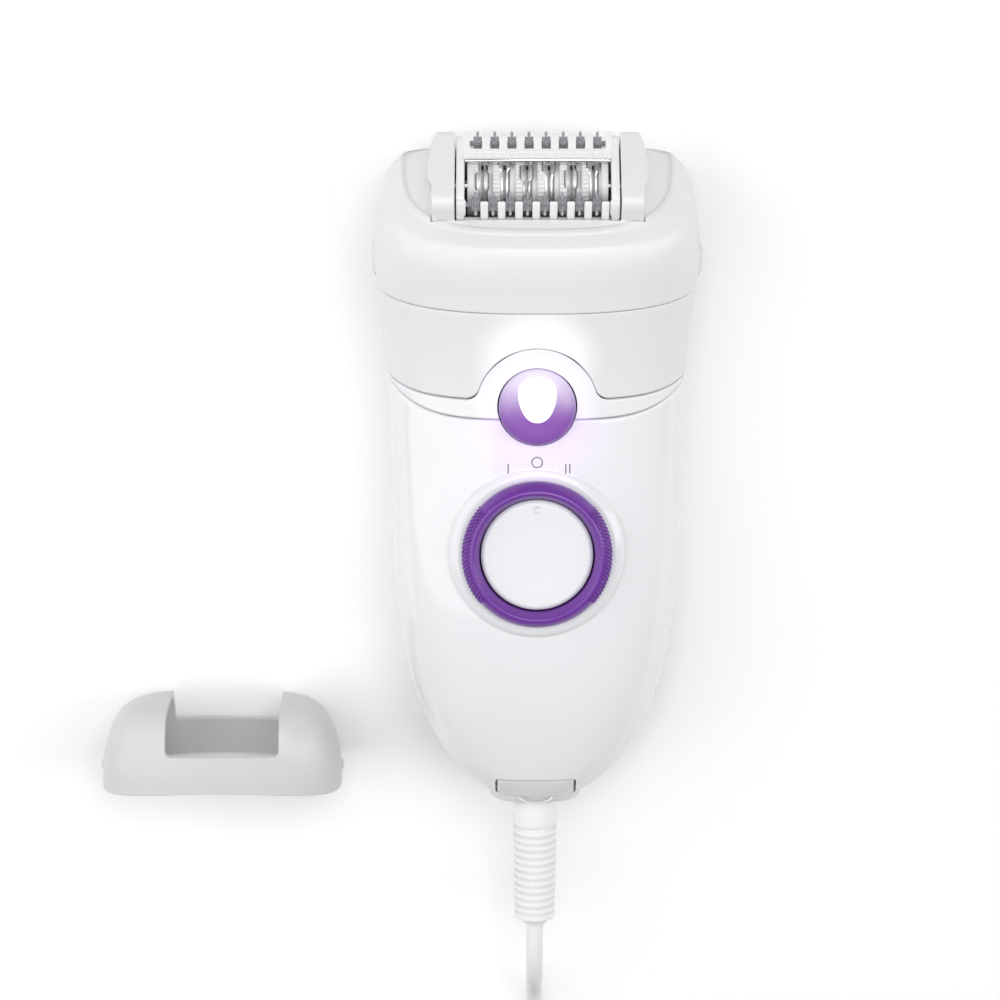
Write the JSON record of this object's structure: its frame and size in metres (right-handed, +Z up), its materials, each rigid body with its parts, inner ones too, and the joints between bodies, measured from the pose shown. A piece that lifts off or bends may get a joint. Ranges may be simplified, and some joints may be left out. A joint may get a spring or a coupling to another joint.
{
  "type": "corded epilator",
  "caption": "Corded epilator lying on its back: tapered oval handle, turn switch, lamp, pull-off tweezer head with comb and massage rollers, contact cap, plug-in cord set.",
  "frame": {"origin": "on the table plane, at the middle of the flat that the handle rests on", "axes": "+Z up, away from the table and out of the control side; +Y along the handle from the cord to the tweezer head; +X to the right as the controls face the viewer"},
  "size_m": [0.1337, 0.2814, 0.0424],
  "materials": {
    "satin_white": "satin moulded",
    "gloss_white": "high gloss, clear coated",
    "clear": "clear, polished",
    "purple": "pearlescent gloss",
    "lamp_purple": "translucent gloss",
    "lamp_glow": "lit, clear",
    "smoke": "smoke translucent",
    "inner_plastic": "as moulded",
    "gear_plastic": "acetal, as moulded",
    "board_green": "solder resist",
    "steel": "bright",
    "chrome": "polished",
    "brass": "nickel-washed",
    "cord_white": "soft PVC, matt",
    "adapter_white": "fine texture"
  },
  "bodies": {
    "handle": {"front_shell": "gloss_white", "back_shell": "satin_white", "neck_shell": "satin_white", "collar_band": "gloss_white", "shell_screw_1": "steel", "shell_screw_2": "steel", "lamp_bezel": "lamp_purple", "lamp_window": "lamp_glow", "led": "lamp_glow", "socket_collar": "clear", "socket_insert": "inner_plastic", "socket_pin_left": "brass", "socket_pin_right": "brass", "motor_can": "steel", "crown_axle": "steel", "chassis": "inner_plastic", "circuit_board": "board_green", "switch_block": "inner_plastic"},
    "switch_knob": {"knob_ring": "purple", "knob_disc": "satin_white"},
    "motor_rotor": {"motor_shaft": "steel", "motor_pinion": "brass"},
    "crown_wheel": {"crown_gear": "gear_plastic"},
    "transfer_wheel": {"transfer_gear": "gear_plastic"},
    "head": {"head_shell": "satin_white", "head_top": "satin_white", "cassette_frame": "gloss_white", "guide_bar": "chrome", "head_bracket": "inner_plastic"},
    "button_left": {"release_button_left": "satin_white"},
    "button_right": {"release_button_right": "satin_white"},
    "head_wheel": {"head_gear": "gear_plastic"},
    "tweezer_drum": {"drum_core": "inner_plastic", "drum_shaft": "steel", "drum_gear": "gear_plastic", "fixed_blade_1": "steel", "fixed_blade_2": "steel", "fixed_blade_3": "steel", "fixed_blade_4": "steel", "fixed_blade_5": "steel", "fixed_blade_6": "steel"},
    "tweezer_clamp": {"clamp_rod_a": "steel", "clamp_rod_b": "steel", "moving_blade_1": "steel", "moving_blade_2": "steel", "moving_blade_3": "steel", "moving_blade_4": "steel", "moving_blade_5": "steel", "moving_blade_6": "steel"},
    "front_roller": {"front_massage_roller": "smoke"},
    "rear_roller": {"rear_massage_roller": "smoke"},
    "cap": {"contact_cap": "satin_white"},
    "cord_set": {"connector_body": "cord_white", "strain_relief": "cord_white", "cord_lead": "cord_white", "cord_coil": "cord_white", "cord_tail": "cord_white", "adapter_body": "adapter_white", "adapter_pin_left": "brass", "adapter_pin_right": "brass"}
  },
  "joints": [
    {"name": "switch_turn", "type": "hinge", "parent": "handle", "child": "switch_knob", "pos_m": [0, -0.004, 0.0361], "axis": [0, 0.0872, 0.9962], "range_deg": [-19, 19]},
    {"name": "head_release", "type": "slide", "parent": "handle", "child": "head", "axis": [0, 1, 0], "range_m": [0, 0.025]},
    {"name": "release_button_left_press", "type": "slide", "parent": "head", "child": "button_left", "axis": [1, 0, 0], "range_m": [0, 0.0012], "stiffness_N_per_m": 600, "springref_m": -0.0008},
    {"name": "release_button_right_press", "type": "slide", "parent": "head", "child": "button_right", "axis": [-1, 0, 0], "range_m": [0, 0.0012], "stiffness_N_per_m": 600, "springref_m": -0.0008},
    {"name": "drum_spin", "type": "hinge", "parent": "head", "child": "tweezer_drum", "pos_m": [0, 0.0687, 0.02553], "axis": [1, 0, 0], "continuous": true},
    {"name": "head_wheel_spin", "type": "hinge", "parent": "head", "child": "head_wheel", "pos_m": [-0.0192, 0.05755, 0.01774], "axis": [1, 0, 0], "continuous": true},
    {"name": "transfer_wheel_spin", "type": "hinge", "parent": "handle", "child": "transfer_wheel", "pos_m": [-0.0192, 0.03876, 0.01817], "axis": [1, 0, 0], "continuous": true},
    {"name": "crown_wheel_spin", "type": "hinge", "parent": "handle", "child": "crown_wheel", "pos_m": [-0.01, 0.022, 0.017], "axis": [1, 0, 0], "continuous": true},
    {"name": "motor_spin", "type": "hinge", "parent": "handle", "child": "motor_rotor", "pos_m": [0, 0.008, 0.017], "axis": [0, 1, 0], "continuous": true},
    {"name": "clamp_slide", "type": "slide", "parent": "tweezer_drum", "child": "tweezer_clamp", "axis": [1, 0, 0], "range_m": [-0.0006, 0.0003], "stiffness_N_per_m": 300},
    {"name": "front_roller_spin", "type": "hinge", "parent": "head", "child": "front_roller", "pos_m": [0, 0.06653, 0.03347], "axis": [1, 0, 0], "continuous": true},
    {"name": "rear_roller_spin", "type": "hinge", "parent": "head", "child": "rear_roller", "pos_m": [0, 0.07688, 0.02362], "axis": [1, 0, 0], "continuous": true},
    {"name": "cap_lift", "type": "slide", "parent": "handle", "child": "cap", "axis": [0, 0, 1], "range_m": [0, 0.03]},
    {"name": "connector_pull", "type": "slide", "parent": "handle", "child": "cord_set", "axis": [0, -1, 0], "range_m": [0, 0.016]}
  ],
  "couplings": [
    {"joint": "head_wheel_spin", "follows": "drum_spin", "ratio": -0.61905},
    {"joint": "transfer_wheel_spin", "follows": "drum_spin", "ratio": 0.5},
    {"joint": "crown_wheel_spin", "follows": "drum_spin", "ratio": -0.8125},
    {"joint": "motor_spin", "follows": "drum_spin", "ratio": 3.25}
  ]
}
